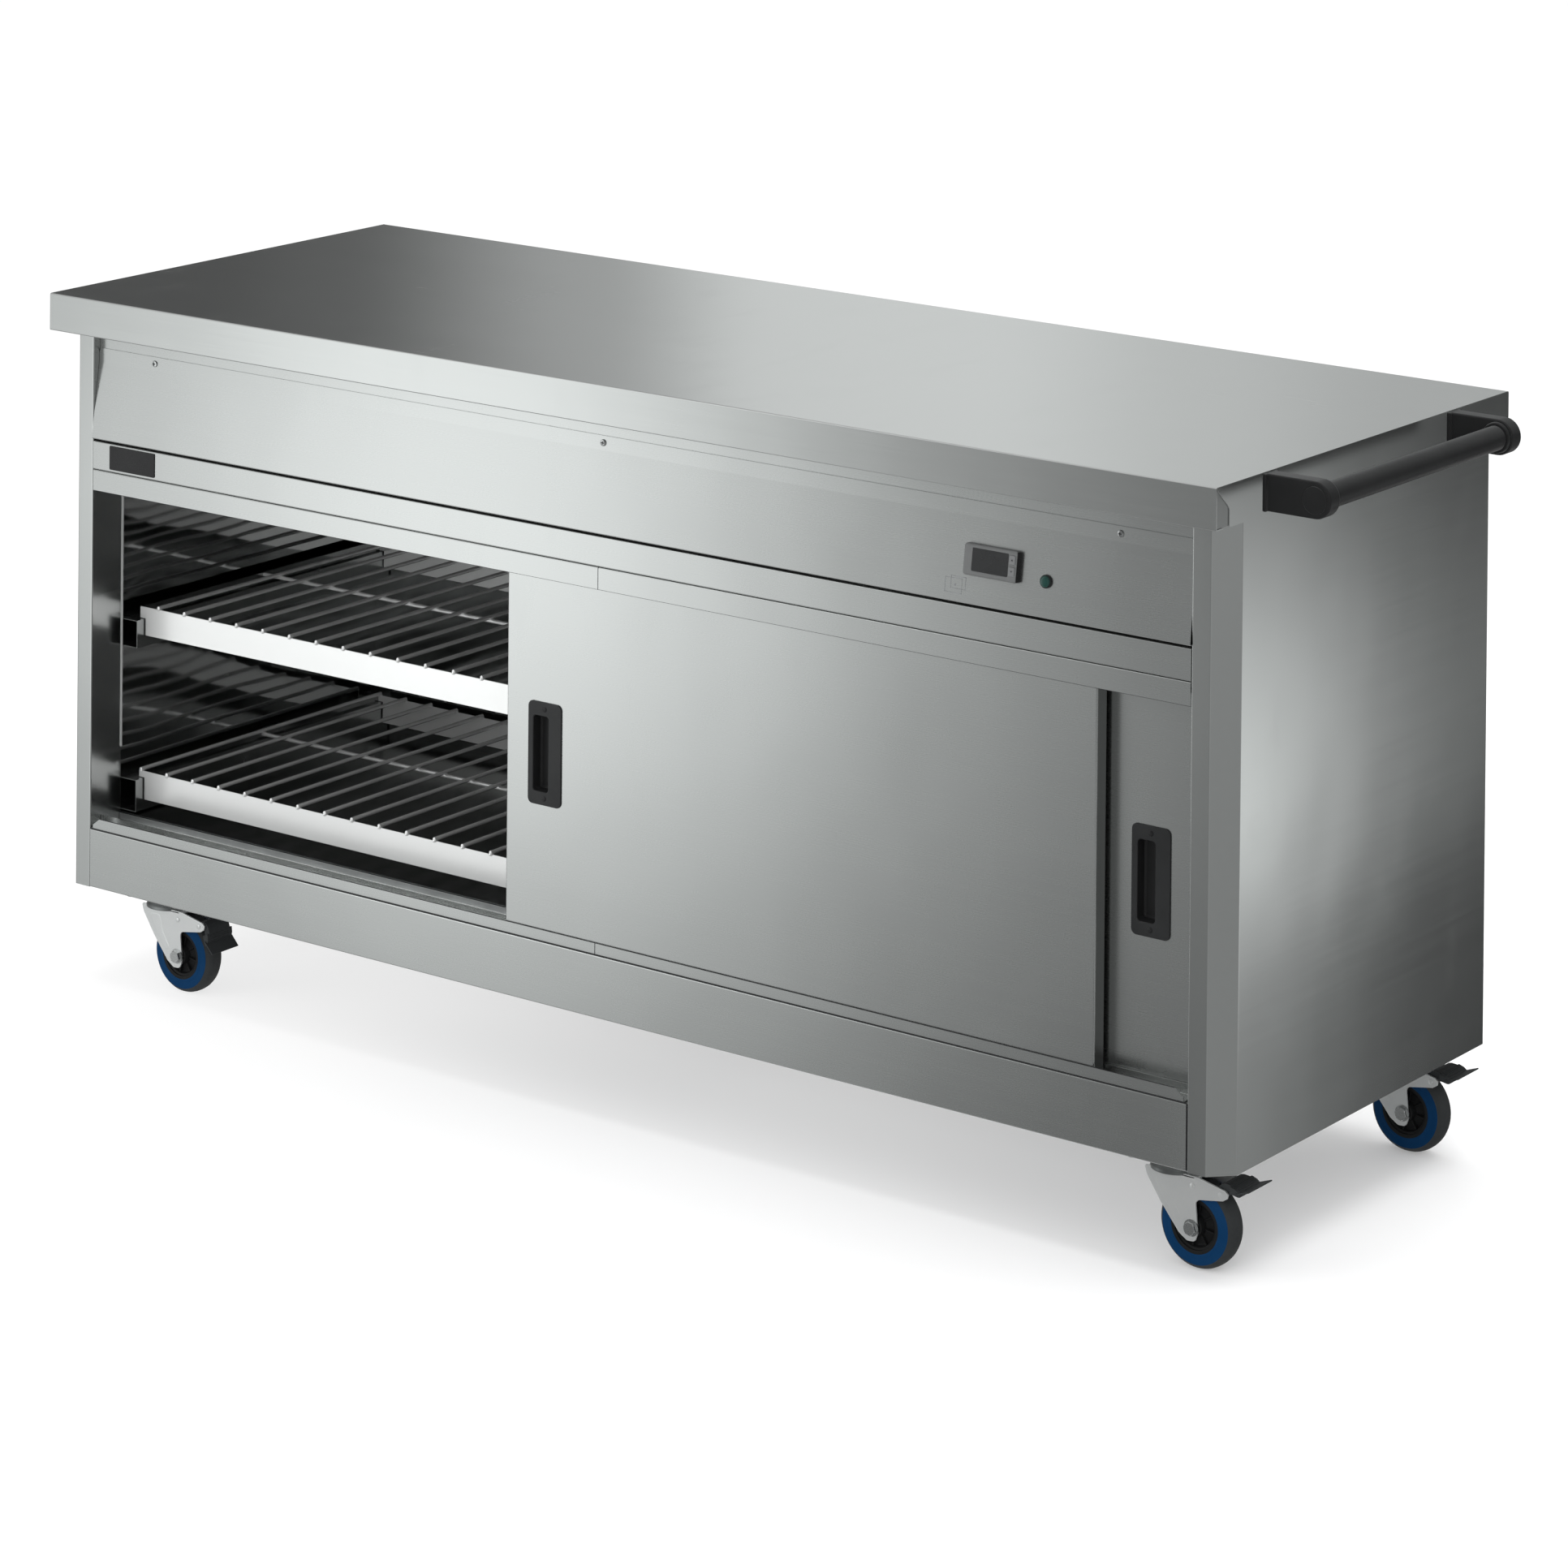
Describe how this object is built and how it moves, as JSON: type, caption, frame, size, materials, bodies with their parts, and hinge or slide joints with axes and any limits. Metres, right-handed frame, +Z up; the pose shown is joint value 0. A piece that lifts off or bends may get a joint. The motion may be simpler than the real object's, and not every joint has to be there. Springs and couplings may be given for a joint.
{
  "type": "food holding cabinet",
  "caption": "Mobile stainless hot cupboard with a plain worktop, sliding doors, sloped control panel, wire racks, side push handle and braked swivel castors.",
  "frame": {"origin": "on the floor, at the centre of the overall footprint, push handle included", "axes": "+X to the right seen from the front, towards the push handle; +Y from the doors to the back; +Z up"},
  "size_m": [1.887, 0.642, 0.895],
  "materials": {
    "brushed_steel": "brushed stainless sheet, satin",
    "inner_steel": "bright stainless sheet, reflective",
    "galvanised": "zinc-coated sheet, dull",
    "track_aluminium": "extruded, satin",
    "rack_wire": "polished steel wire and flat bar",
    "black_plastic": "moulded, fine grain",
    "key_grey": "moulded keys",
    "nylon": "moulded nylon",
    "lamp_green": "dark green lens",
    "insulation_wool": "mineral wool board",
    "heater_sheath": "oxidised sheath",
    "fan_aluminium": "pressed sheet",
    "cable_black": "rubber sheath",
    "screw_steel": "bright fasteners",
    "zinc_plate": "bright zinc-plated pressed steel",
    "hub_black": "moulded polypropylene",
    "tyre_blue": "blue elastic rubber with a dark grey tread",
    "pedal_black": "moulded cover"
  },
  "bodies": {
    "root": {"worktop": "brushed_steel", "worktop_stiffeners": "galvanised", "side_panel_left": "brushed_steel", "side_panel_right": "brushed_steel", "back_panel": "brushed_steel", "base_tray": "galvanised", "top_rail": "brushed_steel", "control_panel": "brushed_steel", "lower_rail": "brushed_steel", "plinth_panel": "brushed_steel", "header_covers": "brushed_steel", "door_sills": "brushed_steel", "door_track_upper": "track_aluminium", "door_track_lower": "track_aluminium", "liner_back": "inner_steel", "liner_side_left": "inner_steel", "liner_side_right": "inner_steel", "liner_floor": "inner_steel", "liner_ceiling": "inner_steel", "insulation": "insulation_wool", "shelf_supports": "rack_wire", "controller_case": "black_plastic", "pilot_lamp": "lamp_green", "heater_element": "heater_sheath", "fan_motor": "galvanised", "mains_lead": "cable_black", "handle_brackets": "black_plastic", "handle_tube": "black_plastic", "panel_screws": "screw_steel", "castor_plates": "zinc_plate", "castor_bolts": "screw_steel"},
    "door_left": {"door_left_skin": "brushed_steel", "door_left_inner": "inner_steel", "door_left_pull": "black_plastic", "door_left_glides": "nylon"},
    "door_right": {"door_right_skin": "brushed_steel", "door_right_inner": "inner_steel", "door_right_pull": "black_plastic", "door_right_glides": "nylon"},
    "fan": {"fan_impeller": "fan_aluminium"},
    "key_up": {"key_up": "key_grey"},
    "key_down": {"key_down": "key_grey"},
    "shelf_upper": {"shelf_upper": "rack_wire"},
    "shelf_lower": {"shelf_lower": "rack_wire"},
    "castor_fl_swivel": {"castor_fl_fork": "zinc_plate"},
    "castor_fl_wheel": {"castor_fl_hub": "hub_black", "castor_fl_tyre": "tyre_blue"},
    "castor_fl_pedal": {"castor_fl_pedal": "pedal_black"},
    "castor_fr_swivel": {"castor_fr_fork": "zinc_plate"},
    "castor_fr_wheel": {"castor_fr_hub": "hub_black", "castor_fr_tyre": "tyre_blue"},
    "castor_fr_pedal": {"castor_fr_pedal": "pedal_black"},
    "castor_bl_swivel": {"castor_bl_fork": "zinc_plate"},
    "castor_bl_wheel": {"castor_bl_hub": "hub_black", "castor_bl_tyre": "tyre_blue"},
    "castor_bl_pedal": {"castor_bl_pedal": "pedal_black"},
    "castor_br_swivel": {"castor_br_fork": "zinc_plate"},
    "castor_br_wheel": {"castor_br_hub": "hub_black", "castor_br_tyre": "tyre_blue"},
    "castor_br_pedal": {"castor_br_pedal": "pedal_black"}
  },
  "joints": [
    {"name": "door_left_slide", "type": "slide", "parent": "root", "child": "door_left", "axis": [1, 0, 0], "range_m": [-0.7065, 0.1255]},
    {"name": "door_right_slide", "type": "slide", "parent": "root", "child": "door_right", "axis": [1, 0, 0], "range_m": [-0.8325, 0]},
    {"name": "fan_spin", "type": "hinge", "parent": "root", "child": "fan", "pos_m": [-0.0435, 0.009, 0.17], "axis": [0, 0, 1], "continuous": true},
    {"name": "key_down_press", "type": "slide", "parent": "root", "child": "key_down", "axis": [0, 0.9914, -0.1305], "range_m": [0, 0.0008], "stiffness_N_per_m": 400},
    {"name": "key_up_press", "type": "slide", "parent": "root", "child": "key_up", "axis": [0, 0.9914, -0.1305], "range_m": [0, 0.0008], "stiffness_N_per_m": 400},
    {"name": "shelf_lower_lift", "type": "slide", "parent": "root", "child": "shelf_lower", "axis": [0, 0, 1], "range_m": [0, 0.04]},
    {"name": "shelf_upper_lift", "type": "slide", "parent": "root", "child": "shelf_upper", "axis": [0, 0, 1], "range_m": [0, 0.04]},
    {"name": "swivel_fl", "type": "hinge", "parent": "root", "child": "castor_fl_swivel", "pos_m": [-0.8025, -0.235, 0.11], "axis": [0, 0, 1], "continuous": true},
    {"name": "wheel_fl", "type": "hinge", "parent": "castor_fl_swivel", "child": "castor_fl_wheel", "pos_m": [-0.7695, -0.235, 0.05], "axis": [0, 1, 0], "continuous": true},
    {"name": "pedal_fl", "type": "hinge", "parent": "castor_fl_swivel", "child": "castor_fl_pedal", "pos_m": [-0.7315, -0.235, 0.095], "axis": [0, 1, 0], "range_deg": [-66, 0]},
    {"name": "swivel_fr", "type": "hinge", "parent": "root", "child": "castor_fr_swivel", "pos_m": [0.7585, -0.235, 0.11], "axis": [0, 0, 1], "continuous": true},
    {"name": "wheel_fr", "type": "hinge", "parent": "castor_fr_swivel", "child": "castor_fr_wheel", "pos_m": [0.7915, -0.235, 0.05], "axis": [0, 1, 0], "continuous": true},
    {"name": "pedal_fr", "type": "hinge", "parent": "castor_fr_swivel", "child": "castor_fr_pedal", "pos_m": [0.8295, -0.235, 0.095], "axis": [0, 1, 0], "range_deg": [0, 66]},
    {"name": "swivel_bl", "type": "hinge", "parent": "root", "child": "castor_bl_swivel", "pos_m": [-0.8025, 0.221, 0.11], "axis": [0, 0, 1], "continuous": true},
    {"name": "wheel_bl", "type": "hinge", "parent": "castor_bl_swivel", "child": "castor_bl_wheel", "pos_m": [-0.7695, 0.221, 0.05], "axis": [0, 1, 0], "continuous": true},
    {"name": "pedal_bl", "type": "hinge", "parent": "castor_bl_swivel", "child": "castor_bl_pedal", "pos_m": [-0.7315, 0.221, 0.095], "axis": [0, 1, 0], "range_deg": [0, 66]},
    {"name": "swivel_br", "type": "hinge", "parent": "root", "child": "castor_br_swivel", "pos_m": [0.7585, 0.221, 0.11], "axis": [0, 0, 1], "continuous": true},
    {"name": "wheel_br", "type": "hinge", "parent": "castor_br_swivel", "child": "castor_br_wheel", "pos_m": [0.7915, 0.221, 0.05], "axis": [0, 1, 0], "continuous": true},
    {"name": "pedal_br", "type": "hinge", "parent": "castor_br_swivel", "child": "castor_br_pedal", "pos_m": [0.8295, 0.221, 0.095], "axis": [0, 1, 0], "range_deg": [0, 66]}
  ]
}
